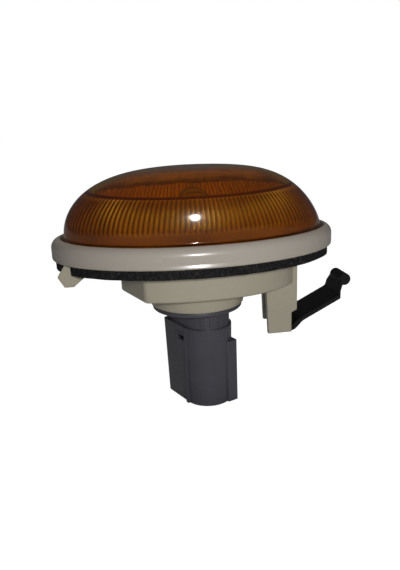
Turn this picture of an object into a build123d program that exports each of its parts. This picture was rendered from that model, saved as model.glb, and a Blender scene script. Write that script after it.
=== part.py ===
from build123d import *
from math import cos, hypot, pi, radians, sin, sqrt
import os

# Side repeater lamp for a car wing. The plane z = 0 is the underside of the foam gasket, which seats on
# the panel. +Z points outwards through the lens, +X towards the spring clip. All sizes in millimetres.

# Foam gasket between the rim and the panel
gasket_thickness = 2.8
gasket_edge_inset = 0.9
gasket_clearance = 0.6

# Oval rim of the housing
rim_length = 85.0
rim_width = 53.4
rim_height = 6.0
rim_edge_round = 2.6
rim_bottom_round = 0.5
rim_floor = 2.0

# Lens: an oval dome on a flared foot, whose two ends and two sides follow superellipses of their own
lens_front_length = 38.6
lens_rear_length = 39.0
lens_half_width = 23.5
lens_dome_height = 18.7
lens_wall = 2.2
lens_lean = -0.25
lens_crown_turn = 87.0
lens_front_powers = (2.01, 3.00)
lens_rear_powers = (1.37, 3.64)
lens_side_powers = (2.50, 4.27)
lens_ring_count = 10
foot_flare = 1.1
foot_rise = 1.9
foot_ring_count = 4
lens_seat_clearance = 0.15
lens_rib_wall = 1.2
lens_rib_height = 2.4

# Flutes inside the lens wall, and the ledge where they stop below the top face
flute_count = 132
flute_depth = 0.55
flute_start = 2.4
flute_levels = 3
flute_chords = 20
seam_height = 11.3
seam_ledge = 0.9

# Tub behind the rim: an oval whose front is cut by two flats that meet in a blunt nose
tub_length = 63.0
tub_width = 37.6
tub_nose_x = -23.2
tub_shoulder_x = -17.0
tub_nose_round = 3.0
tub_shoulder_round = 2.0
tub_depth = 8.8
tub_wall = 1.8
tub_floor = 1.8
tub_bottom_round = 0.8

# Boss that takes the bulb holder
socket_x = 0.1
boss_depth = 13.6
boss_tip_radius = 14.4
boss_root_radius = 15.2
boss_wall = 1.6
ledge_thickness = 2.7
ledge_lap = 0.5
neck_radius = 10.0
neck_clearance = 0.4

# Bayonet lugs of the bulb holder and the notches that let them in
lug_count = 3
lug_span = 30.0
lug_reach = 2.0
lug_height = 1.8
lug_gap = 0.1
lug_clearance_angle = 3.0
unlock_turn = 40.0
stop_span = 8.0
stop_height = 1.6

# Fork that carries the spring clip
fork_x = 20.4
fork_upper_width = 9.8
fork_lower_width = 8.1
fork_step_depth = 17.3
fork_depth = 24.5
fork_half_gap = 5.1
fork_leg = 2.4
fork_far_trim = 2.2
fork_draft = 0.7
fork_thin_leg = 1.5
fork_thin_height = 5.0
groove_depth = 0.8
groove_clearance = 0.1

# Spring clip: one strap bent in a V, wider once it is clear of the fork, with a bead along its head
clip_width = 9.6
clip_arm_width = 12.2
clip_head_width = 7.8
clip_flare_x = 29.4
clip_flare_length = 2.4
clip_taper_length = 1.0
clip_thickness = 1.3
clip_root_x = 26.2
clip_root_top = 9.0
clip_bend_depth = 25.3
clip_bend_radius = 1.7
clip_knee_x = 31.9
clip_knee_depth = 21.4
clip_knee_radius = 5.0
clip_tip_x = 45.0
clip_tip_depth = 14.8
clip_tip_radius = 1.6
clip_head_x = 46.4
clip_head_depth = 10.0
clip_bead_radius = 1.9
clip_bead_offset = 0.8

# Barbs under the rim, in notches of the gasket, with pockets in the foam above their arms
barb_x = -37.7
barb_y = 9.7
barb_thickness = 1.8
barb_neck = 1.7
barb_depth = 3.6
barb_shoulder_depth = 0.3
barb_front_reach = 3.0
barb_rear_reach = 5.4
barb_foot = 2.6
notch_clearance = 0.5
pocket_depth = 0.5

# Bulb holder: flange, D-shaped collar with ribs on its front, and plug socket, turned about its axis
flange_radius = 13.9
flange_thickness = 1.4
flange_gap = 0.2
flange_round = 0.4
collar_inset = 0.4
collar_lap = 0.5
collar_rib_count = 4
collar_rib_first = -133.5
collar_rib_step = 22.0
collar_rib_width = 0.8
collar_rib_height = 0.3
connector_turn = 24.0
connector_half_width = 7.6
connector_arc_offset = 4.6
connector_back = 8.0
connector_back_round = 0.8
connector_draft = 0.25
connector_top = 20.0
connector_bottom = 45.0
connector_wall = 1.5
connector_ceiling = 1.6
key_offset = 4.35
key_width = 3.7
key_drop = 4.95
key_round = 0.4
corner_rib = 1.2
corner_rib_height = 0.4
window_offset = -1.9
window_width = 3.9
window_height = 1.5
window_drop = 3.0
window_frame = 0.8
window_frame_tail = 1.4
window_frame_height = 0.35
tower_width = 13.0
tower_depth = 8.4
tower_top = 0.5
tower_round = 2.0
tower_slot_width = 9.8
tower_slot_depth = 5.2
tower_slot_floor = 9.0

# Rubber ring in the boss recess
seal_inner_radius = 11.2
seal_outer_radius = 12.8
seal_recess = 1.2
seal_clearance = 0.3

# Terminals: a blade in the plug socket and a spring leaf beside the bulb
terminal_width = 2.8
terminal_thickness = 0.6
terminal_spacing = 6.0
terminal_clearance = 0.1
terminal_leaf_gap = 0.5
blade_recess = 5.2
terminal_bend = 0.5
terminal_step = 0.4
terminal_top_drop = 1.0

# Wedge-base bulb
bulb_length = 26.8
bulb_radius = 5.1
bulb_wall = 0.7
bulb_tip_share = 0.9
bulb_neck_share = 0.4
wedge_width = 9.2
wedge_thickness = 2.4
wedge_height = 9.4
wedge_bottom = 5.9
wire_radius = 0.175
wire_clearance = 0.03
wire_fold_rise = 2.6
wire_bend = 0.4
filament_height = 12.0
filament_radius = 0.3
filament_rise = 0.8

# Distance that a cut runs past the surface it opens
overshoot = 1.0

# Places that follow from the sizes above
rim_bottom_z = gasket_thickness
rim_top_z = rim_bottom_z + rim_height
floor_top_z = rim_bottom_z + rim_floor
floor_middle_z = rim_bottom_z + rim_floor / 2
foot_share = foot_rise / lens_dome_height
ledge_top_z = ledge_thickness - boss_depth
flange_top_z = -boss_depth - flange_gap
flange_bottom_z = flange_top_z - flange_thickness
lug_bottom_z = ledge_top_z + lug_gap
lug_top_z = lug_bottom_z + lug_height
cavity_ceiling_z = -connector_top - connector_ceiling
connector_front = connector_arc_offset + connector_half_width
bore_radius = neck_radius + neck_clearance
lug_radius = neck_radius + lug_reach
socket_place = Pos(socket_x, 0, 0)
holder_place = Pos(socket_x, 0, 0) * Rot(0, 0, connector_turn)


def oval(length, width):
    """Flat elliptical face of the given length along X and width along Y."""
    return Ellipse(length / 2, width / 2)


def slab(face, bottom, top):
    """Upright prism of a flat face between two heights."""
    return extrude(Pos(0, 0, bottom) * face, top - bottom)


def disc(radius, bottom, top):
    """Upright cylinder on the Z axis between two heights."""
    return slab(Circle(radius), bottom, top)


# Lens

def power_share(height_share, powers):
    """Half-width share of a superellipse at a share of its height: (1 - h^m)^(1/n)."""
    rise, spread = powers
    return max(0.0, 1 - height_share ** rise) ** (1 / spread)


def lens_halves(inset, height_share):
    """Front half-length, rear half-length, half-width and lean of the dome at a share of its height."""
    front = (lens_front_length - inset) * power_share(height_share, lens_front_powers)
    rear = (lens_rear_length - inset) * power_share(height_share, lens_rear_powers)
    side = (lens_half_width - inset) * power_share(height_share, lens_side_powers)
    return front, rear, side, lens_lean * height_share


def half_ellipses(front, rear, side, lean):
    """Oval wire of two half ellipses that meet at the widest place."""
    centre = (lean, 0)
    rear_half = EllipticalCenterArc(centre, rear, side, start_angle=-90, arc_size=180)
    front_half = EllipticalCenterArc(centre, front, side, start_angle=90, arc_size=180)
    return Wire([rear_half, front_half])


def lens_plan(out):
    """Flat face of the dome's base, drawn out by a distance all round."""
    halves = (lens_front_length + out, lens_rear_length + out, lens_half_width + out)
    return make_face(half_ellipses(*halves, 0))


def lens_ring(inset, dome_height, height_share):
    """Oval wire of the dome at a share of its height."""
    ring = half_ellipses(*lens_halves(inset, height_share))
    return Pos(0, 0, rim_top_z + dome_height * height_share) * ring


def lens_dome(inset, dome_height, first_share):
    """Solid dome from a share of its height up to its crown, lofted through oval rings."""
    turns = [pi / 2 * i / lens_ring_count for i in range(lens_ring_count)] + [radians(lens_crown_turn)]
    shares = [first_share + (1 - first_share) * sin(turn) for turn in turns]
    return Solid.make_loft([lens_ring(inset, dome_height, share) for share in shares])


def lens_foot():
    """Flared foot of the dome: its rings spread by the square of their distance below the foot's top."""
    rings = []
    for i in range(foot_ring_count + 1):
        risen = i / foot_ring_count
        rings.append(lens_ring(-foot_flare * (1 - risen) ** 2, lens_dome_height, foot_share * risen))
    return Solid.make_loft(rings)


def even_angles(length, width, count):
    """Angles on an ellipse that divide its edge into equal lengths, found by adding up short chords."""
    steps = flute_chords * count
    turn = [2 * pi * i / steps for i in range(steps + 1)]
    run = [0.0]
    for a, b in zip(turn, turn[1:]):
        run.append(run[-1] + hypot(length * (cos(b) - cos(a)), width * (sin(b) - sin(a))))
    angles = []
    for i, reached in enumerate(run):
        if reached >= run[-1] * len(angles) / count and len(angles) < count:
            angles.append(turn[i])
    return angles


def fluted_ring(inset, dome_height, height_share, angles):
    """Closed zigzag on the inner wall: every second corner lies a flute's depth further out."""
    front, rear, side, lean = lens_halves(inset, height_share)
    corners = []
    for i, angle in enumerate(angles):
        out = flute_depth * (i % 2)
        half = rear if cos(angle) > 0 else front
        corners.append((lean + (half + out) * cos(angle), (side + out) * sin(angle)))
    return Pos(0, 0, rim_top_z + dome_height * height_share) * Polyline(*corners, close=True).wire()


def make_lens():
    """Amber lens: dome and foot, hollowed with a plain strip, a fluted wall and a smooth top."""
    inner_height = lens_dome_height - lens_wall
    body = slab(lens_plan(foot_flare), floor_top_z, rim_top_z) + lens_foot()
    body += lens_dome(0, lens_dome_height, foot_share)
    first = flute_start / inner_height
    last = seam_height / inner_height
    plain = slab(lens_plan(-lens_wall), floor_top_z - overshoot, rim_top_z + flute_start)
    inner_length = lens_front_length + lens_rear_length - 2 * lens_wall
    angles = even_angles(inner_length, 2 * (lens_half_width - lens_wall), 2 * flute_count)
    rings = []
    for i in range(flute_levels + 1):
        share = first + (last - first) * i / flute_levels
        rings.append(fluted_ring(lens_wall, inner_height, share, angles))
    flutes = Solid.make_loft(rings, ruled=True)
    top = lens_dome(lens_wall + seam_ledge, inner_height, last)
    return body - plain - flutes - top


# Housing

def tub_outline(inset):
    """Plan of the tub: an oval with two flats at the front, corners rounded, drawn in by inset."""
    shoulder_y = tub_width / 2 * sqrt(1 - (2 * tub_shoulder_x / tub_length) ** 2)
    flat_x = tub_shoulder_x - tub_nose_x
    nose_x = tub_nose_x + inset * hypot(flat_x, shoulder_y) / shoulder_y
    near = (nose_x + 2 * flat_x, -2 * shoulder_y)
    far = (nose_x + 2 * flat_x, 2 * shoulder_y)
    behind = [(tub_length, -2 * shoulder_y), (tub_length, 2 * shoulder_y)]
    flats = make_face(Polyline((nose_x, 0), near, *behind, far, close=True))
    plan = oval(tub_length - 2 * inset, tub_width - 2 * inset) & flats
    plan = fillet(plan.vertices().group_by(Axis.X)[1], tub_shoulder_round)
    return fillet(plan.vertices().group_by(Axis.X)[0], tub_nose_round)


def fork_leg_outline(front_trim):
    """Side view of a fork leg in X and Z: wide above, stepped narrower below, front edge drafted."""
    front_x = fork_x + front_trim
    upper_x = fork_x + fork_upper_width
    lower_x = fork_x + fork_lower_width
    step = -fork_step_depth
    return make_face(
        Polyline(
            (front_x, floor_middle_z),
            (front_x, -tub_depth),
            (front_x + fork_draft, -fork_depth),
            (lower_x, -fork_depth),
            (lower_x, step - (upper_x - lower_x) / 2),
            (upper_x, step),
            (upper_x, floor_middle_z),
            close=True,
        )
    )


def side_slab(face, near, far):
    """Prism along Y of a face drawn in X and Z, between two distances from the middle plane."""
    return extrude(Plane.XZ.offset(-far) * face, far - near)


def make_fork():
    """Two legs with grooves for the clip's root; the foot of each leg is thinner on its inner side."""
    outer = fork_half_gap + fork_leg
    foot_inner = outer - fork_thin_leg
    foot_top = -fork_depth + fork_thin_height
    groove_half = clip_thickness / 2 + groove_clearance
    groove_reach = fork_half_gap + groove_depth
    groove_top = groove_clearance - clip_root_top
    foot_length = 2 * fork_upper_width
    thin = Pos(fork_x + foot_length / 2, 0, 0) * slab(
        Rectangle(2 * foot_length, 2 * foot_inner), -fork_depth - overshoot, foot_top
    )
    groove = Pos(clip_root_x, 0, 0) * slab(
        Rectangle(2 * groove_half, 2 * groove_reach), -fork_depth - overshoot, groove_top
    )
    legs = side_slab(fork_leg_outline(0), -outer, -fork_half_gap)
    legs += side_slab(fork_leg_outline(fork_far_trim), fork_half_gap, outer)
    return legs - thin - groove


def barb_outline():
    """Side view of a barb in X and Z: a neck from the rim, then an arrow head that points at the panel."""
    half_neck = barb_neck / 2
    half_foot = barb_foot / 2
    shoulder = -barb_shoulder_depth
    return make_face(
        Polyline(
            (barb_x - half_neck, floor_middle_z),
            (barb_x - half_neck, rim_bottom_z),
            (barb_x - barb_front_reach, 2 * shoulder),
            (barb_x - half_foot, -barb_depth),
            (barb_x + half_foot, -barb_depth),
            (barb_x + barb_rear_reach, shoulder),
            (barb_x + half_neck, shoulder),
            (barb_x + half_neck, floor_middle_z),
            close=True,
        )
    )


def make_barbs():
    """Barbs under the front end of the rim, one on each side of the middle plane."""
    near = barb_y - barb_thickness / 2
    far = barb_y + barb_thickness / 2
    return side_slab(barb_outline(), near, far) + side_slab(barb_outline(), -far, -near)


def sector(inner, outer, middle, span):
    """Flat ring sector about the Z axis, centred on an angle."""
    reach = 2 * outer
    half = radians(span / 2)
    x = reach * cos(half)
    y = reach * sin(half)
    wedge = Polyline((0, 0), (x, -y), (x, y), close=True)
    return Rot(0, 0, middle) * ((Circle(outer) - Circle(inner)) & make_face(wedge))


def lug_angles():
    """Directions of the bayonet lugs, evenly round the neck."""
    return [360 / lug_count * i for i in range(lug_count)]


def boss_radius_at(z):
    """Radius of the boss's cone at a height between its tip and its root on the tub floor."""
    share = (z + boss_depth) / (boss_depth - tub_depth)
    return boss_tip_radius + (boss_root_radius - boss_tip_radius) * share


def make_boss():
    """Solid cone under the tub, running into its floor."""
    root_z = -tub_depth + tub_floor / 2
    tip = Pos(0, 0, -boss_depth) * Circle(boss_tip_radius)
    root = Pos(0, 0, root_z) * Circle(boss_radius_at(root_z))
    return socket_place * loft([tip, root])


def boss_hollow():
    """Space inside the boss: cone above the ledge, bore, lug notches and the recess for the rubber ring."""
    top_z = -tub_depth + tub_floor + overshoot
    low = Pos(0, 0, ledge_top_z) * Circle(boss_radius_at(ledge_top_z) - boss_wall)
    high = Pos(0, 0, top_z) * Circle(boss_radius_at(top_z) - boss_wall)
    space = loft([low, high]) + disc(bore_radius, -boss_depth - overshoot, ledge_top_z + overshoot)
    notch_span = lug_span + 2 * lug_clearance_angle
    for angle in lug_angles():
        notch = sector(neck_radius, lug_radius + neck_clearance, angle - unlock_turn, notch_span)
        space += slab(notch, -boss_depth - overshoot, ledge_top_z + overshoot)
    recess = Circle(seal_outer_radius + seal_clearance) - Circle(seal_inner_radius - seal_clearance)
    space += slab(recess, -boss_depth - overshoot, -boss_depth + seal_recess)
    return socket_place * space


def make_housing():
    """Off-white moulding: rim with the lens groove, tub, boss, fork and barbs."""
    rim = slab(oval(rim_length, rim_width), rim_bottom_z, rim_top_z)
    rim = fillet(rim.edges().group_by(Axis.Z)[-1], rim_edge_round)
    rim = fillet(rim.edges().group_by(Axis.Z)[0], rim_bottom_round)
    rib = lens_wall + lens_seat_clearance
    rim -= slab(lens_plan(foot_flare + lens_seat_clearance), floor_top_z, rim_top_z + overshoot)
    rib_plan = lens_plan(-rib) - lens_plan(-rib - lens_rib_wall)
    rim += slab(rib_plan, floor_middle_z, floor_top_z + lens_rib_height)
    tub = slab(tub_outline(0), -tub_depth, floor_middle_z)
    tub = fillet(tub.edges().group_by(Axis.Z)[0], tub_bottom_round)
    body = rim + tub + make_boss() + make_fork() + make_barbs()
    body -= slab(tub_outline(tub_wall), -tub_depth + tub_floor, floor_top_z + overshoot)
    body -= boss_hollow()
    stop_outer = boss_radius_at(ledge_top_z) - boss_wall / 2
    for angle in lug_angles():
        middle = angle + (lug_span + stop_span) / 2 + lug_clearance_angle / 2
        stop = sector(bore_radius + neck_clearance, stop_outer, middle, stop_span)
        body += socket_place * slab(stop, ledge_top_z - ledge_lap, ledge_top_z + stop_height)
    return body


# Gasket

def make_gasket():
    """Foam ring between rim and panel, open round tub and fork, notched and pocketed for the barbs."""
    edge = 2 * gasket_edge_inset
    outline = oval(rim_length - edge, rim_width - edge)
    fork_far = fork_x + fork_upper_width + gasket_clearance
    fork_half = fork_half_gap + fork_leg + gasket_clearance
    fork_hole = Pos(fork_far / 2, 0) * Rectangle(fork_far, 2 * fork_half)
    ring = outline - tub_outline(-gasket_clearance) - fork_hole
    notch_front = barb_x - barb_front_reach - notch_clearance
    notch_rear = barb_x + barb_neck / 2 + notch_clearance
    notch = Rectangle(notch_rear - notch_front, rim_width)
    notch_y = barb_y - barb_thickness / 2 - notch_clearance + rim_width / 2
    for side in (-1, 1):
        ring -= Pos((notch_front + notch_rear) / 2, side * notch_y) * notch
    foam = slab(ring, 0, gasket_thickness)
    pocket_rear = barb_x + barb_rear_reach + notch_clearance
    pocket = Rectangle(pocket_rear - notch_front, barb_thickness + 2 * notch_clearance)
    for side in (-1, 1):
        place = Pos((notch_front + pocket_rear) / 2, side * barb_y)
        foam -= slab(place * pocket, -overshoot, pocket_depth)
    return foam


# Spring clip

def clip_plan():
    """Plan of the strap: narrow in the fork, wide along the arm, narrower again at the head."""
    root = clip_width / 2
    wide = clip_arm_width / 2
    head = clip_head_width / 2
    far_x = clip_head_x + 2 * clip_bead_radius
    edge = [
        (fork_x, root),
        (clip_flare_x, root),
        (clip_flare_x + clip_flare_length, wide),
        (clip_tip_x, wide),
        (clip_tip_x + clip_taper_length, head),
        (far_x, head),
    ]
    return make_face(Polyline(*edge, *[(x, -y) for x, y in reversed(edge)], close=True))


def make_spring_clip():
    """Black strap: root in the fork's grooves, tight bend below, free arm out to a head with a bead."""
    bend_low = -clip_bend_depth + clip_thickness / 2
    points = [
        (clip_root_x, -clip_root_top),
        (clip_root_x, bend_low),
        (clip_root_x + 2 * clip_bend_radius, bend_low),
        (clip_knee_x, -clip_knee_depth),
        (clip_tip_x, -clip_tip_depth),
        (clip_head_x, -clip_head_depth),
    ]
    radii = [clip_bend_radius, clip_bend_radius, clip_knee_radius, clip_tip_radius]
    line = FilletPolyline(*points, radius=radii)
    wide = clip_arm_width / 2
    strap = side_slab(trace(line, clip_thickness), -wide, wide)
    strap &= slab(clip_plan(), -fork_depth - clip_bead_radius, 0)
    bead_place = (clip_head_x + clip_bead_offset, -clip_head_depth)
    half_head = clip_head_width / 2
    strap += side_slab(Pos(*bead_place) * Circle(clip_bead_radius), -half_head, half_head)
    tongue_half = fork_half_gap + groove_depth - groove_clearance
    tongue_low = -fork_depth + fork_thin_height
    tongue = slab(Rectangle(clip_thickness, 2 * tongue_half), tongue_low, -clip_root_top)
    return strap + Pos(clip_root_x, 0, 0) * tongue


# Bulb holder

def connector_outline(inset):
    """Plan of the plug socket, a D: flat sides and back, half-round front, drawn in by inset."""
    half = connector_half_width - inset
    back = connector_back - inset
    front = Pos(0, -connector_arc_offset) * Circle(half)
    box_middle = (back - connector_arc_offset) / 2
    box = Pos(0, box_middle) * Rectangle(2 * half, back + connector_arc_offset)
    box = fillet(box.vertices().group_by(Axis.Y)[-1], connector_back_round)
    return front + box


def terminal_places():
    """Sideways place of each terminal, and the side of the bulb's wedge that its leaf presses on."""
    return {"feed": (-terminal_spacing / 2, -1), "earth": (terminal_spacing / 2, 1)}


def make_bulb_holder():
    """Grey moulding: bulb tower, neck with bayonet lugs, flange, ribbed collar and plug socket."""
    flange = disc(flange_radius, flange_bottom_z, flange_top_z)
    flange = fillet(flange.edges(), flange_round)
    tower = Rectangle(tower_width, tower_depth)
    tower = slab(fillet(tower.vertices(), tower_round), lug_bottom_z, tower_top)
    body = flange + disc(neck_radius, flange_bottom_z, lug_top_z) + tower
    collar_low_z = -connector_top - collar_lap
    body += slab(connector_outline(collar_inset), collar_low_z, flange_bottom_z)
    rib = Rectangle(2 * collar_rib_height, collar_rib_width)
    rib = Pos(connector_half_width - collar_inset, 0) * rib
    for i in range(collar_rib_count):
        turn = Rot(0, 0, collar_rib_first + collar_rib_step * i)
        body += slab(Pos(0, -connector_arc_offset) * turn * rib, collar_low_z, flange_bottom_z)
    for angle in lug_angles():
        lug = sector(neck_radius - overshoot, lug_radius, angle - connector_turn, lug_span)
        body += slab(lug, lug_bottom_z, lug_top_z)
    mouth = Pos(0, 0, -connector_bottom) * connector_outline(connector_draft)
    shoulder = Pos(0, 0, -connector_top) * connector_outline(-connector_draft)
    body += loft([mouth, shoulder])
    body += connector_key() + connector_corner_rib() + window_surround()
    body -= slab(connector_outline(connector_wall), -connector_bottom - overshoot, cavity_ceiling_z)
    body -= window_hole()
    body -= slab(Rectangle(tower_slot_width, tower_slot_depth), -tower_slot_floor, tower_top + overshoot)
    room = 2 * terminal_clearance
    slot = Rectangle(terminal_width + room, terminal_thickness + room)
    for x, _ in terminal_places().values():
        body -= Pos(x, 0, 0) * slab(slot, cavity_ceiling_z - overshoot, -tower_slot_floor + overshoot)
    return holder_place * body


def connector_key():
    """Square rail beside the half-round front of the plug socket, shorter than the socket itself."""
    rail = Pos(key_offset, -connector_front / 2) * Rectangle(key_width, connector_front)
    rail = fillet(rail.vertices().group_by(Axis.Y)[0], key_round)
    return slab(rail, -connector_bottom, -connector_top - key_drop)


def connector_corner_rib():
    """Slim upright rib where the windowed flat meets the half-round front."""
    place = Pos(-connector_half_width, -connector_arc_offset)
    rib = Rectangle(2 * corner_rib_height, corner_rib)
    return slab(place * rib, -connector_bottom, -connector_top)


def window_block(margin, tail, depth):
    """Block on the windowed flat round the latch window, longer below the window by tail."""
    top = -connector_top - window_drop + margin
    bottom = top - window_height - 2 * margin - tail
    plan = Rectangle(2 * depth, window_width + 2 * margin)
    return slab(Pos(-connector_half_width, window_offset) * plan, bottom, top)


def window_surround():
    """Raised frame round the latch window."""
    return window_block(window_frame, window_frame_tail, window_frame_height)


def window_hole():
    """Latch window through the wall of the plug socket."""
    return window_block(0, 0, 2 * connector_wall)


# Rubber ring, terminals and bulb

def make_holder_seal():
    """Flat rubber ring on the flange, pressed into the boss recess."""
    ring = Circle(seal_outer_radius) - Circle(seal_inner_radius)
    return holder_place * slab(ring, flange_top_z, -boss_depth + seal_recess)


def make_terminal(x, side):
    """Brass strip: blade in the plug socket, run through the floor, leaf beside the bulb's wedge."""
    leaf_y = side * (wedge_thickness / 2 + terminal_leaf_gap + terminal_thickness / 2)
    line = FilletPolyline(
        (0, -connector_bottom + blade_recess),
        (0, -tower_slot_floor + terminal_step),
        (leaf_y, -wedge_bottom - 2 * terminal_step),
        (leaf_y, tower_top - terminal_top_drop),
        radius=terminal_bend,
    )
    strip = extrude(Plane.YZ * trace(line, terminal_thickness), terminal_width / 2, both=True)
    return holder_place * Pos(x, 0, 0) * strip


def wire_path(x, side):
    """Lead wire route: down from the filament, out under the wedge and up its face."""
    fold_y = side * (wedge_thickness / 2 + terminal_leaf_gap / 2)
    low = -wedge_bottom - terminal_leaf_gap / 2
    top = filament_height
    path = FilletPolyline(
        (x, 0, top), (x, 0, low), (x, fold_y, low), (x, fold_y, low + wire_fold_rise), radius=wire_bend
    )
    return path.wire()


def wire_tube(x, side, radius):
    """Round wire of a radius along its route."""
    path = wire_path(x, side)
    section = Plane(origin=path @ 0, z_dir=path % 0) * Circle(radius)
    return sweep(section, path=path)


def make_bulb_glass():
    """Clear glass: round envelope with a domed end, pinched into a flat wedge that the wires pass."""
    tip = bulb_length - wedge_bottom
    shoulder = -wedge_bottom + wedge_height
    outer = disc(bulb_radius, shoulder - bulb_radius / 2, tip)
    outer = fillet(outer.edges().group_by(Axis.Z)[-1], bulb_radius * bulb_tip_share)
    outer = fillet(outer.edges().group_by(Axis.Z)[0], bulb_radius * bulb_neck_share)
    inner_radius = bulb_radius - bulb_wall
    inner = disc(inner_radius, shoulder, tip - bulb_wall)
    inner = fillet(inner.edges().group_by(Axis.Z)[-1], inner_radius * bulb_tip_share)
    inner = fillet(inner.edges().group_by(Axis.Z)[0], inner_radius * bulb_neck_share)
    wedge = slab(Rectangle(wedge_width, wedge_thickness), -wedge_bottom, shoulder)
    glass = outer + wedge - inner
    for x, side in terminal_places().values():
        glass -= wire_tube(x, side, wire_radius + wire_clearance)
    return holder_place * glass


def make_filament():
    """Tungsten coil between the wires, as the tube that its turns fill, arched in the middle."""
    half = terminal_spacing / 2 - wire_radius - wire_clearance
    crest = filament_height + filament_rise
    arch = ThreePointArc((-half, 0, filament_height), (0, 0, crest), (half, 0, filament_height))
    section = Plane(origin=arch @ 0, z_dir=arch % 0) * Circle(filament_radius)
    return holder_place * sweep(section, path=arch)


pieces = {
    "lens": make_lens(),
    "housing": make_housing(),
    "gasket": make_gasket(),
    "spring_clip": make_spring_clip(),
    "bulb_holder": make_bulb_holder(),
    "holder_seal": make_holder_seal(),
    "bulb_glass": make_bulb_glass(),
    "bulb_filament": make_filament(),
}
for name, (x, side) in terminal_places().items():
    pieces["terminal_" + name] = make_terminal(x, side)
    pieces["bulb_wire_" + name] = holder_place * wire_tube(x, side, wire_radius)

os.makedirs("parts", exist_ok=True)
for name, piece in pieces.items():
    export_step(piece, "parts/" + name + ".step")
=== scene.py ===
import bmesh
import bpy
import numpy as np
from math import cos, radians, sin
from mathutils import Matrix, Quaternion, Vector


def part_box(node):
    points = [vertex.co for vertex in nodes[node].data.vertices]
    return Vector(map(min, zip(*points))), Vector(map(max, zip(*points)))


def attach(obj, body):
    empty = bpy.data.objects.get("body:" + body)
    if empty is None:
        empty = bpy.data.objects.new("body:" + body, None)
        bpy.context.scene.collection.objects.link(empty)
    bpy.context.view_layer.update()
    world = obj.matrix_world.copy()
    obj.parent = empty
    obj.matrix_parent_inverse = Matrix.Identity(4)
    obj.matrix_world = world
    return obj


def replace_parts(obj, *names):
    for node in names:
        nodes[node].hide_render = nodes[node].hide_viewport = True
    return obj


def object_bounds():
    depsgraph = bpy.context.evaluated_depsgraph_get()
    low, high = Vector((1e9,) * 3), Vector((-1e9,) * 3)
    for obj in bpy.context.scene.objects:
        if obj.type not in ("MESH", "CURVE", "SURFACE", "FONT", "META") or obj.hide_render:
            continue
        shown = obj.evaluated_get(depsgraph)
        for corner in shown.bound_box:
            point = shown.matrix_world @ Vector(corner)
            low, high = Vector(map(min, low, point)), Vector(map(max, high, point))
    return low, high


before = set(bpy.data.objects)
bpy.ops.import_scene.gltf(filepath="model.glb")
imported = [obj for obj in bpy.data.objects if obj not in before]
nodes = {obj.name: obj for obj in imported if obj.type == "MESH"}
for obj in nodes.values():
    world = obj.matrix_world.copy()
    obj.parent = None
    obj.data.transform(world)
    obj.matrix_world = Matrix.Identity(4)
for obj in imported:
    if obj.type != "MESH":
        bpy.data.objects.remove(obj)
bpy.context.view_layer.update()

# Housing
# One cream moulding: oval rim with the lens groove, tub, boss, fork and barbs. The plastic is glossy,
# a little yellowed, and has fine rubbing marks. The rim is painted a paler cream as a painted sheen, and
# the cream is darker in a mottled brown band along the gasket line.

rim_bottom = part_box("gasket")[1].z
rim_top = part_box("housing")[1].z
housing_round = 0.0005
lip_start, lip_height, lip_reach = 0.0002, 0.0013, 0.0003
gasket_band_height = 0.0007
# Paler, more neutral cream painted on the rim as a painted sheen
painted_sheen_cream = (0.375, 0.338, 0.293)
# Brown that darkens the cream in a band along the gasket line
gasket_band_brown = (0.16, 0.14, 0.1)


def node_adder(tree):
    """Function that adds nodes to one node tree."""

    def add(kind, inputs=None, **settings):
        """Adds a node, sets its properties, and gives each named input a value or a link from a socket."""
        node = tree.nodes.new("ShaderNode" + kind)
        for key, value in settings.items():
            setattr(node, key, value)
        for key, value in (inputs or {}).items():
            if isinstance(value, bpy.types.NodeSocket):
                tree.links.new(value, node.inputs[key])
            else:
                node.inputs[key].default_value = value
        return node

    return add


def finish_named(name):
    """New node material, its Principled shader, and the function that adds nodes to it."""
    material = bpy.data.materials.new(name)
    material.use_nodes = True
    return material, material.node_tree.nodes["Principled BSDF"], node_adder(material.node_tree)


def link(source, target):
    """Links two sockets of one node tree."""
    target.id_data.links.new(source, target)


def height_of(add):
    """Height of the shaded point above the panel, from Object coordinates."""
    return add("SeparateXYZ", {0: add("TexCoord").outputs["Object"]}).outputs["Z"]


def grain(add, scale, detail=2.0, stretch=(1, 1, 1)):
    """Noise on Object coordinates: its value from 0 to 1, with scale features per metre."""
    place = add("TexCoord").outputs["Object"]
    place = add("Mapping", {"Vector": place, "Scale": stretch}).outputs["Vector"]
    return add("TexNoise", {"Vector": place, "Scale": scale, "Detail": detail}).outputs["Fac"]


def spread(add, value, low, high, start=0.0, end=1.0):
    """Maps a value's range from start to end onto a range from low to high, and holds it there."""
    inputs = {"Value": value, "From Min": start, "From Max": end, "To Min": low, "To Max": high}
    return add("MapRange", inputs).outputs["Result"]


def blend(add, share, low, high):
    """Mix of two colours by a share, each of them a tone or a colour socket."""
    first, second = (c if isinstance(c, bpy.types.NodeSocket) else (*c, 1) for c in (low, high))
    return add("MixRGB", {"Fac": share, "Color1": first, "Color2": second}).outputs["Color"]


def two_tones(add, value, low, high, start=0.35, end=0.65):
    """Colour that goes from one tone to another over part of a value's range."""
    return blend(add, spread(add, value, 0, 1, start, end), low, high)


def product(add, first, second):
    """Product of two values."""
    return add("Math", {0: first, 1: second}, operation="MULTIPLY").outputs["Value"]


def rounded_edges(add, radius):
    """Normal that rounds sharp edges by a radius in metres."""
    return add("Bevel", {"Radius": radius}).outputs["Normal"]


def relief(add, value, strength, depth=0.0001, under=None):
    """Bump normal from a height value and its depth in metres, over another normal where one is given."""
    inputs = {"Height": value, "Strength": strength, "Distance": depth}
    if under is not None:
        inputs["Normal"] = under
    return add("Bump", inputs).outputs["Normal"]


def dress(names, material):
    """Gives CAD nodes a material of their own."""
    for name in names:
        nodes[name].data.materials.clear()
        nodes[name].data.materials.append(material)


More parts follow.
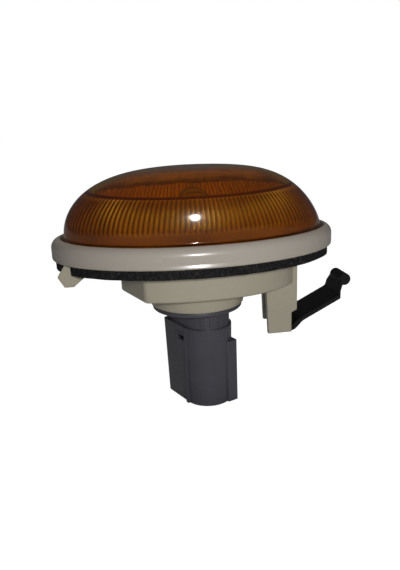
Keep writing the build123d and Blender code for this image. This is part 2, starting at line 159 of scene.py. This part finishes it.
cream, shader, add = finish_named("cream_plastic")
height = height_of(add)
tone = two_tones(add, grain(add, 45, 3), (0.36, 0.328, 0.248), (0.372, 0.34, 0.262))
# Painted sheen: above the gasket the cream is painted paler and more neutral
painted_sheen = spread(add, height, 0, 1, rim_bottom, rim_bottom + gasket_band_height)
tone = blend(add, painted_sheen, tone, painted_sheen_cream)
# Darker in a mottled brown band along the gasket line, both above and below the gasket's top
gasket_band = spread(add, height, 1, 0, rim_bottom, rim_bottom + gasket_band_height)
gasket_band = product(add, gasket_band, spread(add, height, 0, 1, rim_bottom - gasket_band_height, rim_bottom))
gasket_band_darkening = product(add, gasket_band, spread(add, grain(add, 420, 4), 0, 0.5, 0.4, 0.7))
link(blend(add, gasket_band_darkening, tone, gasket_band_brown), shader.inputs["Base Color"])
rubbing = grain(add, 180, 5, (1, 1, 4))
link(spread(add, rubbing, 0.22, 0.28, 0.3, 0.7), shader.inputs["Roughness"])
normal = relief(add, grain(add, 900, 3), 0.015, under=rounded_edges(add, housing_round))
lip = spread(add, height, 1, 0, rim_bottom + lip_start, rim_bottom + lip_height)
link(relief(add, lip, 1.0, lip_reach, under=normal), shader.inputs["Normal"])
shader.inputs["IOR"].default_value = 1.5
dress(["housing"], cream)

# Lens
# Amber clear plastic, moulded in one piece: smooth outside, flutes down the inside of the wall, a
# ledge, and ripples inside the top above it. The ridges between the flutes and a band at the ledge are
# painted dark as painted shade, and the top is painted a paler amber as a painted glow. Its flared foot
# stands in the groove of the rim.

lens_low, lens_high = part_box("lens")
foot_flare, foot_rise, foot_power = 0.0011, 0.0006, 3
front_length = -lens_low.x - foot_flare
rear_length = lens_high.x - foot_flare
half_width = lens_high.y - foot_flare
dome_height = lens_high.z - rim_top
front_powers, rear_powers, side_powers = (2.01, 3.0), (1.37, 3.64), (2.5, 4.27)
dome_lean = -0.00025
lens_wall, crown_wall = 0.0022, 0.0014
inner_height = dome_height - crown_wall
flute_start, flute_count, flute_depth = 0.0024, 132, 0.00055
seam_rise, seam_ledge = 0.0116, 0.0005
seam_z = rim_top + seam_rise
seam_blur, ledge_line = 0.0003, 0.0001
ripple_lengths = np.array([0.0055, 0.0066, 0.0083, 0.0017, 0.0013, 0.0021])
ripple_headings = np.radians([12, 77, 128, 95, 43, 150])
ripple_starts = np.array([0.0, 2.1, 4.0, 1.1, 5.2, 3.3])
ripple_slope = 0.006
# Lengths along the inside, as shares of its height
flute_run_out, seam_line, seam_fade = 0.04, 0.013, 0.004
ledge_shade, ledge_fade, ripple_fade = 0.045, 0.09, 0.05
flute_columns, flute_rows, foot_rows, climb_rows = 6, 12, 5, 40
clear_outside, clear_flutes, clear_top, clear_seam = 1.0, 0.55, 0.95, 0.1
flute_roughness, crown_smoothing = 0.3, 0.2
# Paler amber painted on the top above the ledge as a painted glow
painted_glow_amber = (0.85, 0.42, 0.03)
# Dark amber painted on the flutes' ridges and the ledge band as painted shade
painted_shade_amber = (0.06, 0.014, 0.0005)
lamp_tint = (0.97, 0.82, 0.35)


def narrowing(share, powers):
    """Share of a half-axis left at a share h of the height, (1 - h^m)^(1/n)."""
    rise, spread_power = powers
    return np.maximum(0, 1 - share**rise) ** (1 / spread_power)


def dome(turn, share, inset, height):
    """Dome point for a plan angle and a share of a height: narrowed half-axes, in ellipses front and rear."""
    front = (front_length - inset) * narrowing(share, front_powers)
    rear = (rear_length - inset) * narrowing(share, rear_powers)
    side = (half_width - inset) * narrowing(share, side_powers)
    x = np.where(np.cos(turn) > 0, rear, front) * np.cos(turn) + dome_lean * share
    return np.stack([x, side * np.sin(turn), rim_top + height * share + 0 * x], axis=-1)


def even_turns(count, length, width):
    """Plan angles that divide an ellipse's edge into equal lengths, from summed short chords."""
    fine = np.linspace(0, 2 * np.pi, 20001)
    chord = np.hypot(length * np.diff(np.cos(fine)), width * np.diff(np.sin(fine)))
    run = np.concatenate([[0], np.cumsum(chord)])
    return np.interp(np.arange(count) / count * run[-1], run, fine)


def at_height(ring, z):
    """Copy of a ring of points, laid flat at one height."""
    flat = ring.copy()
    flat[..., 2] = z
    return flat


def ripples(points):
    """Depth of the top's uneven inside: summed sine waves of several headings, deeper as they are longer."""
    along = points[..., 0, None] * np.cos(ripple_headings) + points[..., 1, None] * np.sin(ripple_headings)
    waves = 1 + np.sin(2 * np.pi * along / ripple_lengths + ripple_starts)
    return ripple_slope / (2 * np.pi) * (ripple_lengths * waves).sum(axis=-1)


def lens_rows():
    """Rings from the outer crown down to the foot, across it, and up the inside to the inner crown. Each
    point has two values: unshaded falls to 0 in the painted shade of the ridges between the flutes and
    of the ledge band, and clear is the share of light that passes."""
    columns = flute_columns * flute_count
    turn = even_turns(columns, front_length + rear_length, 2 * half_width)[None, :]
    climb = np.sin(np.linspace(0, np.pi / 2, climb_rows))[:, None]
    foot_share = foot_rise / dome_height
    low_share = np.linspace(0, foot_share, foot_rows, endpoint=False)[:, None]
    share = np.concatenate([low_share, foot_share + (1 - foot_share) * climb])
    flare = foot_flare * np.clip(1 - share / foot_share, 0, 1) ** foot_power
    outside = dome(turn, share, -flare, dome_height)
    foot = at_height(outside[:1], lens_low.z)
    plain = dome(turn, np.zeros((1, 1)), lens_wall, inner_height)
    plain = np.concatenate([at_height(plain, lens_low.z), at_height(plain, rim_top + flute_start)])
    start, seam = flute_start / inner_height, seam_rise / inner_height
    line = seam - seam_line
    scallop = np.abs(np.sin(np.pi * flute_count * np.arange(columns) / columns))
    fluted_share = np.append(np.linspace(start, line - seam_fade, flute_rows), [line, seam])[:, None]
    grown = np.clip((fluted_share - start) / flute_run_out, 0, 1)
    fluted = dome(turn, fluted_share, lens_wall - flute_depth * scallop * grown, inner_height)
    top_share = seam + (1 - seam) * climb
    top = dome(turn, top_share, lens_wall + seam_ledge, inner_height)
    top[..., 2] -= ripples(top) * np.clip((top_share - seam) / ripple_fade, 0, 1)
    parts = [outside[::-1], foot, plain, fluted, top]
    wall, crown = 3, 4
    levels = [clear_outside, clear_outside, clear_flutes, clear_flutes, clear_top]
    clear = [np.full(part.shape[:2], level) for part, level in zip(parts, levels)]
    clear[wall][-2:], clear[crown][0] = clear_seam, clear_seam
    # Painted shade: darkest on the ridges between flutes, on the last two rows under the ledge, and in a band
    # above it
    flute = [np.ones(part.shape[:2]) for part in parts]
    flute[wall] -= (1 - scallop) * grown
    flute[wall][-2:] = 0
    flute[crown] *= np.clip((top_share - seam - ledge_shade) / ledge_fade, 0, 1)
    return np.concatenate(parts), {"flute": np.concatenate(flute), "clear": np.concatenate(clear)}


def ring_faces(rows):
    """Points and faces of a grid of closed rings, joined row by row."""
    index = np.arange(rows.shape[0] * rows.shape[1]).reshape(rows.shape[:2])
    beside = np.roll(index, -1, axis=1)
    quads = np.stack([index[:-1], index[1:], beside[1:], beside[:-1]], axis=-1)
    return rows.reshape(-1, 3), quads.reshape(-1, 4)


def mesh_piece(name, points, faces, material, layers=None):
    """New smooth object at the origin from points, faces and point values, with doubled points merged."""
    mesh = bpy.data.meshes.new(name)
    mesh.from_pydata(points.tolist(), [], faces.tolist())
    for layer, values in (layers or {}).items():
        mesh.attributes.new(layer, "FLOAT", "POINT").data.foreach_set("value", values.ravel())
    shell = bmesh.new()
    shell.from_mesh(mesh)
    bmesh.ops.remove_doubles(shell, verts=shell.verts, dist=1e-7)
    shell.to_mesh(mesh)
    shell.free()
    mesh.shade_smooth()
    mesh.materials.append(material)
    piece = bpy.data.objects.new(name, mesh)
    bpy.context.scene.collection.objects.link(piece)
    return piece


def larger(add, first, second):
    """Larger of two values."""
    return add("Math", {0: first, 1: second}, operation="MAXIMUM").outputs["Value"]


def let_lamps_through(material, shader, add, tint):
    """Clear wall for shadow rays, so that lamps reach what the wall shuts in, tinted at each surface."""
    clear = add("BsdfTransparent", {"Color": (*tint, 1)}).outputs["BSDF"]
    lit = add("LightPath").outputs["Is Shadow Ray"]
    wall = add("MixShader", {0: lit, 1: shader.outputs["BSDF"], 2: clear}).outputs["Shader"]
    link(wall, material.node_tree.nodes["Material Output"].inputs["Surface"])


amber, shader, add = finish_named("amber_lens")
height = height_of(add)
above = spread(add, height, 0, 1, seam_z - seam_blur, seam_z + seam_blur)
tone = two_tones(add, grain(add, 70, 3), (0.305, 0.133, 0.0025), (0.425, 0.192, 0.004))
# Painted glow: the top above the ledge is painted a paler amber
tone = blend(add, above, tone, painted_glow_amber)
# Painted shade on the flutes' ridges and the ledge band; past a thin line the band is left out where the
# inside is seen from within the plastic
past_ledge = spread(add, height, 0, 1, seam_z + ledge_line, seam_z + seam_blur)
through_wall = product(add, past_ledge, add("NewGeometry").outputs["Backfacing"])
bright = larger(add, add("Attribute", attribute_name="flute").outputs["Fac"], through_wall)
link(blend(add, bright, painted_shade_amber, tone), shader.inputs["Base Color"])
clear = add("Attribute", attribute_name="clear").outputs["Fac"]
link(clear, shader.inputs["Transmission Weight"])
rubbing = spread(add, grain(add, 240, 6, (1, 1, 3)), 0.07, 0.11, 0.3, 0.7)
gloss = product(add, rubbing, spread(add, above, 1, crown_smoothing))
gloss = larger(add, gloss, spread(add, clear, flute_roughness, 0, clear_flutes, 1))
link(gloss, shader.inputs["Roughness"])
shader.inputs["IOR"].default_value = 1.49
shader.inputs["Specular IOR Level"].default_value = 0.2
shader.inputs["Coat Weight"].default_value = 0.05
shader.inputs["Coat Roughness"].default_value = 0.28
link(relief(add, grain(add, 1300, 3), 0.012), shader.inputs["Normal"])
let_lamps_through(amber, shader, add, lamp_tint)
rows, layers = lens_rows()
lens = mesh_piece("lens_moulding", *ring_faces(rows), amber, layers)
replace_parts(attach(lens, "lamp"), "lens")

# Gasket
# Closed-cell foam, die cut from sheet and stuck under the rim. It is notched round the barbs' necks,
# pocketed above their arms, and open round the tub and the fork; its cut edge shows the cells.

foam_half_length, foam_half_width, foam_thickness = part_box("gasket")[1]
foam_round = 0.0003
notch_reach, notch_side = 0.03685, 0.0088
pocket_rear, pocket_side, pocket_depth = -0.0318, 0.0111, 0.0005
opening_half_length, opening_half_width = 0.0321, 0.0194
opening_nose, flat_run, flat_rise = 0.02384, 0.0062, 0.01583
fork_hole_end, fork_hole_side = 0.0308, 0.0081
edge_waver, waver_count, waver_shifts = 0.00012, 23, 5
foam_columns, flat_points, corner_points = 1080, 14, 5


def reach_to(distance, along):
    """Distance along rays to a straight edge, from the ray's share of travel towards it."""
    return np.where(along > 1e-6, distance / np.maximum(along, 1e-6), 1.0)


def oval_reach(turn, half_length, half_width):
    """Distance from the middle to an ellipse by angle."""
    return 1 / np.hypot(np.cos(turn) / half_length, np.sin(turn) / half_width)


def foam_edge(turn):
    """Outer reach by angle: an oval, cut back at the front corners to the barbs' notches."""
    notch = np.maximum(reach_to(notch_side, np.abs(np.sin(turn))), reach_to(notch_reach, -np.cos(turn)))
    return np.minimum(oval_reach(turn, foam_half_length, foam_half_width), notch)


def foam_opening(turn):
    """Inner reach by angle: an oval with two front flats, or the fork's rectangle where that is wider."""
    c, s = np.cos(turn), np.abs(np.sin(turn))
    flats = reach_to(opening_nose * flat_rise, flat_run * s - flat_rise * c)
    tub = np.minimum(oval_reach(turn, opening_half_length, opening_half_width), flats)
    fork = np.where(c > 0, np.minimum(reach_to(fork_hole_end, c), reach_to(fork_hole_side, s)), 0)
    return np.maximum(tub, fork)


def foam_section():
    """Rounded oblong: for each point, the corner centre it belongs to and the way it lies from there."""
    flat = np.linspace(0, 1, flat_points + 2)[1:-1]
    quarter = np.linspace(0, np.pi / 2, corner_points)
    level = np.full(flat_points, np.pi / 2)
    turn = np.concatenate([
        -level, quarter - np.pi / 2, quarter, level, quarter + np.pi / 2, quarter + np.pi,
    ])
    end = np.ones(2 * corner_points)
    across = np.concatenate([flat, end, flat[::-1], 0 * end])
    low = np.zeros(flat_points + corner_points)
    up = np.concatenate([low, np.ones(flat_points + 2 * corner_points), np.zeros(corner_points)])
    return across, up, np.cos(turn), np.sin(turn)


def foam_rows():
    """The section carried round between the inner and outer reach, with an edge that wavers by a sine."""
    turn = np.linspace(0, 2 * np.pi, foam_columns, endpoint=False)[:, None]
    across, up, c, s = foam_section()
    inner, outer = foam_opening(turn) + foam_round, foam_edge(turn) - foam_round
    outer = outer - edge_waver * (1 + np.sin(waver_count * turn + 2 * np.sin(waver_shifts * turn)))
    reach = inner + (outer - inner) * across + foam_round * c
    x, y = reach * np.cos(turn), reach * np.sin(turn)
    z = foam_round + (foam_thickness - 2 * foam_round) * up + foam_round * s + 0 * turn
    pocket = (x < pocket_rear) & (np.abs(y) > notch_side) & (np.abs(y) < pocket_side)
    return np.stack([x, y, np.where(pocket, np.maximum(z, pocket_depth), z)], axis=-1)


def loop_faces(rows):
    """Points and faces of a grid closed both round its rings and from the last ring to the first."""
    index = np.arange(rows.shape[0] * rows.shape[1]).reshape(rows.shape[:2])
    on = np.roll(index, -1, axis=0)
    quads = np.stack([index, on, np.roll(on, -1, axis=1), np.roll(index, -1, axis=1)], axis=-1)
    return rows.reshape(-1, 3), quads.reshape(-1, 4)


foam, shader, add = finish_named("foam")
place = add("TexCoord").outputs["Object"]
cells = add("TexVoronoi", {"Vector": place, "Scale": 1700.0}).outputs["Distance"]
fleck = two_tones(add, grain(add, 1500, 3), (0.001, 0.001, 0.0012), (0.026, 0.026, 0.027), 0.47, 0.77)
link(fleck, shader.inputs["Base Color"])
link(relief(add, cells, 0.5, 0.0002), shader.inputs["Normal"])
link(spread(add, grain(add, 900), 0.75, 0.95), shader.inputs["Roughness"])
shader.inputs["Specular IOR Level"].default_value = 0.3
gasket = mesh_piece("gasket_foam", *loop_faces(foam_rows()), foam)
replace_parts(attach(gasket, "lamp"), "gasket")

# Spring clip
# Black strap moulded in one piece with a fine grain. Its root slides into the fork's grooves, and the
# free arm with its bead presses on the back of the panel.

strap, shader, add = finish_named("black_plastic")
fleck = two_tones(add, grain(add, 1400, 3), (0.0018, 0.0018, 0.0019), (0.008, 0.008, 0.008), 0.4, 0.75)
link(fleck, shader.inputs["Base Color"])
link(spread(add, grain(add, 900, 4), 0.45, 0.65), shader.inputs["Roughness"])
link(relief(add, grain(add, 2600, 2), 0.25), shader.inputs["Normal"])
shader.inputs["Specular IOR Level"].default_value = 0.3
dress(["spring_clip"], strap)

# Bulb holder
# Blue-grey moulding, satin, with flow marks: bulb tower, neck with bayonet lugs, flange, ribbed
# collar and the D-shaped plug socket. It turns in the boss to come out.

holder_round = 0.0003
grey, shader, add = finish_named("grey_plastic")
tone = two_tones(add, grain(add, 120, 5), (0.05, 0.049, 0.061), (0.06, 0.059, 0.074))
link(tone, shader.inputs["Base Color"])
link(spread(add, grain(add, 800, 4), 0.36, 0.52), shader.inputs["Roughness"])
normal = relief(add, grain(add, 1500, 3), 0.08, under=rounded_edges(add, holder_round))
link(normal, shader.inputs["Normal"])
dress(["bulb_holder"], grey)

# Rubber ring
# A flat ring of black rubber between the holder's flange and the boss, moulded, and dull from its
# powder. The holder presses it into the boss's recess.

rubber, shader, add = finish_named("seal_rubber")
link(two_tones(add, grain(add, 500), (0.01, 0.01, 0.01), (0.018, 0.018, 0.018)), shader.inputs["Base Color"])
link(spread(add, grain(add, 1200), 0.5, 0.75), shader.inputs["Roughness"])
dress(["holder_seal"], rubber)

# Terminals
# Two stamped brass strips with a rolled grain along their length, tarnished in patches. Each passes
# through the holder's floor, with a spring leaf above and a blade below.

brass, shader, add = finish_named("terminal_brass")
link(two_tones(add, grain(add, 300, 4), (0.42, 0.28, 0.1), (0.62, 0.47, 0.2)), shader.inputs["Base Color"])
link(spread(add, grain(add, 1400, 3, (1, 1, 0.1)), 0.2, 0.42), shader.inputs["Roughness"])
shader.inputs["Metallic"].default_value = 1.0
dress(["terminal_feed", "terminal_earth"], brass)

# Bulb
# Clear wedge-base bulb: blown glass pinched flat at its base, two drawn lead wires folded up the wedge
# and a coiled filament between them.

glass, shader, add = finish_named("bulb_glass")
tint = two_tones(add, grain(add, 160), (0.9, 0.92, 0.9), (0.97, 0.98, 0.97))
link(tint, shader.inputs["Base Color"])
link(spread(add, grain(add, 400), 0.0, 0.03), shader.inputs["Roughness"])
shader.inputs["Transmission Weight"].default_value = 1.0
shader.inputs["IOR"].default_value = 1.5
let_lamps_through(glass, shader, add, (0.97, 0.97, 0.97))
dress(["bulb_glass"], glass)
steel, shader, add = finish_named("bulb_wire")
link(two_tones(add, grain(add, 900), (0.3, 0.3, 0.31), (0.45, 0.45, 0.45)), shader.inputs["Base Color"])
link(spread(add, grain(add, 2200), 0.25, 0.45), shader.inputs["Roughness"])
shader.inputs["Metallic"].default_value = 1.0
dress(["bulb_wire_feed", "bulb_wire_earth", "bulb_filament"], steel)

# Studio
# A white floor that keeps the object's shadow and surroundings that the camera sees as white. Glossy and
# clear surfaces see both dimmed. A small lamp stands near the camera, and a broad one behind.

room_light, backdrop_light = 0.12, 0.07
floor_glow, mirrored_glow = 0.86, 0.02
floor_half, floor_gap = 3.0, 0.0005
front_place, front_size, front_power = Vector((0.0054, -0.1678, 0.0469)), (0.012, 0.018), 0.175
rear_azimuth, rear_elevation, rear_angle, rear_power = 180, 30, 30, 1.5


def ray_kinds(add):
    """Whether the ray in hand comes from the camera, and whether from a glossy or clear surface."""
    path = add("LightPath").outputs
    return path["Is Camera Ray"], larger(add, path["Is Glossy Ray"], path["Is Transmission Ray"])


def direction(azimuth, elevation):
    """Unit vector away from the object: azimuth 0 is the front, positive to the right, in degrees."""
    a, e = radians(azimuth), radians(elevation)
    return Vector((sin(a) * cos(e), -cos(a) * cos(e), sin(e)))


def light(name, kind, place, toward, energy):
    """New lamp of a kind at a place, facing along a direction, that the camera itself doesn't see."""
    data = bpy.data.lights.new(name, kind)
    data.energy = energy
    lamp = bpy.data.objects.new(name, data)
    lamp.location = place
    lamp.rotation_mode = "QUATERNION"
    lamp.rotation_quaternion = (-toward).to_track_quat("Z", "Y")
    lamp.visible_camera = False
    bpy.context.scene.collection.objects.link(lamp)
    return lamp


world = bpy.data.worlds.new("surroundings")
bpy.context.scene.world = world
world.use_nodes = True
world.node_tree.nodes.clear()
add = node_adder(world.node_tree)
from_camera, mirrored = ray_kinds(add)
level = add("Mix", {"Factor": mirrored, "A": room_light, "B": backdrop_light}).outputs["Result"]
level = add("Mix", {"Factor": from_camera, "A": level, "B": 1.0}).outputs["Result"]
shown = add("Background", {"Color": (1, 1, 1, 1), "Strength": level}).outputs["Background"]
add("OutputWorld", {"Surface": shown})

floor_paint, shader, add = finish_named("floor_paint")
shader.inputs["Base Color"].default_value = (0.45, 0.45, 0.45, 1)
shader.inputs["Roughness"].default_value = 0.9
shader.inputs["Specular IOR Level"].default_value = 0.0
from_camera, mirrored = ray_kinds(add)
strength = larger(add, product(add, from_camera, floor_glow), product(add, mirrored, mirrored_glow))
glow = add("Emission", {"Color": (1, 1, 1, 1), "Strength": strength}).outputs["Emission"]
lit = add("AddShader", {0: shader.outputs["BSDF"], 1: glow}).outputs["Shader"]
from_below = add("NewGeometry").outputs["Backfacing"]
unseen = add("BsdfTransparent").outputs["BSDF"]
surface = add("MixShader", {0: from_below, 1: lit, 2: unseen}).outputs["Shader"]
link(surface, floor_paint.node_tree.nodes["Material Output"].inputs["Surface"])
floor_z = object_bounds()[0][2] - floor_gap
corners = np.array([[-1, -1], [1, -1], [1, 1], [-1, 1]]) * floor_half
floor_points = np.column_stack([corners, np.full(4, floor_z)])
floor = mesh_piece("floor", floor_points, np.array([[0, 1, 2, 3]]), floor_paint)

front_lamp = light("front_lamp", "AREA", front_place, -front_place, front_power)
front_lamp.data.shape = "ELLIPSE"
front_lamp.data.size, front_lamp.data.size_y = front_size
rear_lamp = light("rear_lamp", "SUN", Vector(), -direction(rear_azimuth, rear_elevation), rear_power)
rear_lamp.data.angle = radians(rear_angle)
rear_lamp.visible_glossy = rear_lamp.visible_transmission = False

# Camera
# A little above the lamp and to the left of its front, close to it, with a slight roll.

camera_azimuth, camera_elevation, camera_roll = -8.9, 16.1, -2.2
camera_target, camera_distance = Vector((0.0012, 0, -0.0091)), 0.18
focal_pixels, frame_pixels = 577, 570
back = direction(camera_azimuth, camera_elevation)
camera_data = bpy.data.cameras.new("camera")
camera_data.lens = focal_pixels * camera_data.sensor_width / frame_pixels
camera_data.clip_start = 0.01
camera = bpy.data.objects.new("camera", camera_data)
camera.location = camera_target + back * camera_distance
camera.rotation_mode = "QUATERNION"
camera.rotation_quaternion = back.to_track_quat("Z", "Y") @ Quaternion((0, 0, 1), radians(camera_roll))
bpy.context.scene.collection.objects.link(camera)
bpy.context.scene.camera = camera
bpy.context.scene.view_settings.view_transform = "Standard"
